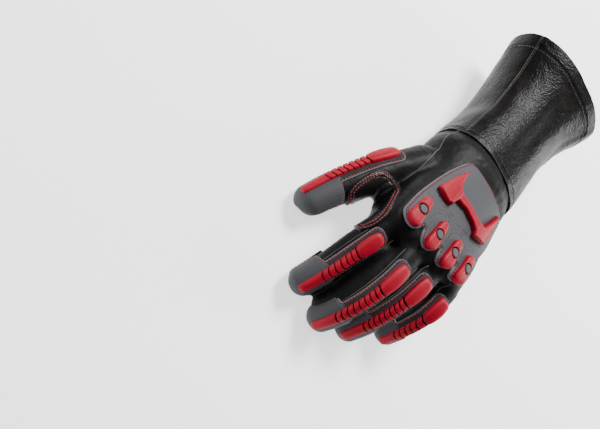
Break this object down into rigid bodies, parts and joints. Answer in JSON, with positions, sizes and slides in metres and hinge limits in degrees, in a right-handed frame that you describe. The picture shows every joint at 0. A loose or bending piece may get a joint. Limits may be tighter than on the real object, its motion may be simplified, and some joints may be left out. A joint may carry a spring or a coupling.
{
  "type": "mig welding glove",
  "caption": "Gauntlet glove of black leather for the left hand, with a moulded knuckle plate and ribbed bumpers along the digits.",
  "frame": {"origin": "middle of the box's underside, on the surface that the glove lies on", "axes": "+X from the thumb's side towards the little finger's, +Y up the forearm to the gauntlet's rim, +Z from the surface to the back of the hand"},
  "size_m": [0.1538, 0.3412, 0.0883],
  "materials": {
    "leather": "soft black split leather",
    "cuff_leather": "black grain leather with a pebbled gloss",
    "patch_leather": "smooth black goat leather with red stitching",
    "guard_rubber": "matt grey moulded rubber",
    "bumper_rubber": "satin red moulded rubber"
  },
  "bodies": {
    "root": {"hand_back": "leather", "palm_shell": "leather", "thumb_shell": "leather", "index_back": "leather", "index_palm": "leather", "middle_back": "leather", "middle_palm": "leather", "ring_back": "leather", "ring_palm": "leather", "little_back": "leather", "little_palm": "leather", "cuff_back": "cuff_leather", "cuff_palm": "cuff_leather", "crotch_shell": "patch_leather", "cuff_patch": "patch_leather", "heel_patch": "patch_leather", "crescent_patch": "patch_leather", "palm_patch": "patch_leather", "index_tip_patch": "patch_leather", "middle_tip_patch": "patch_leather", "ring_tip_patch": "patch_leather", "little_tip_patch": "patch_leather", "index_guard": "guard_rubber", "middle_guard": "guard_rubber", "ring_guard": "guard_rubber", "little_guard": "guard_rubber", "thumb_guard": "guard_rubber", "knuckle_plate": "guard_rubber", "index_stud": "guard_rubber", "middle_stud": "guard_rubber", "ring_stud": "guard_rubber", "little_stud": "guard_rubber", "index_bumper": "bumper_rubber", "middle_bumper": "bumper_rubber", "ring_bumper": "bumper_rubber", "little_bumper": "bumper_rubber", "thumb_bumper": "bumper_rubber", "knuckle_bar": "bumper_rubber", "index_pod": "bumper_rubber", "middle_pod": "bumper_rubber", "ring_pod": "bumper_rubber", "little_pod": "bumper_rubber"}
  },
  "joints": []
}
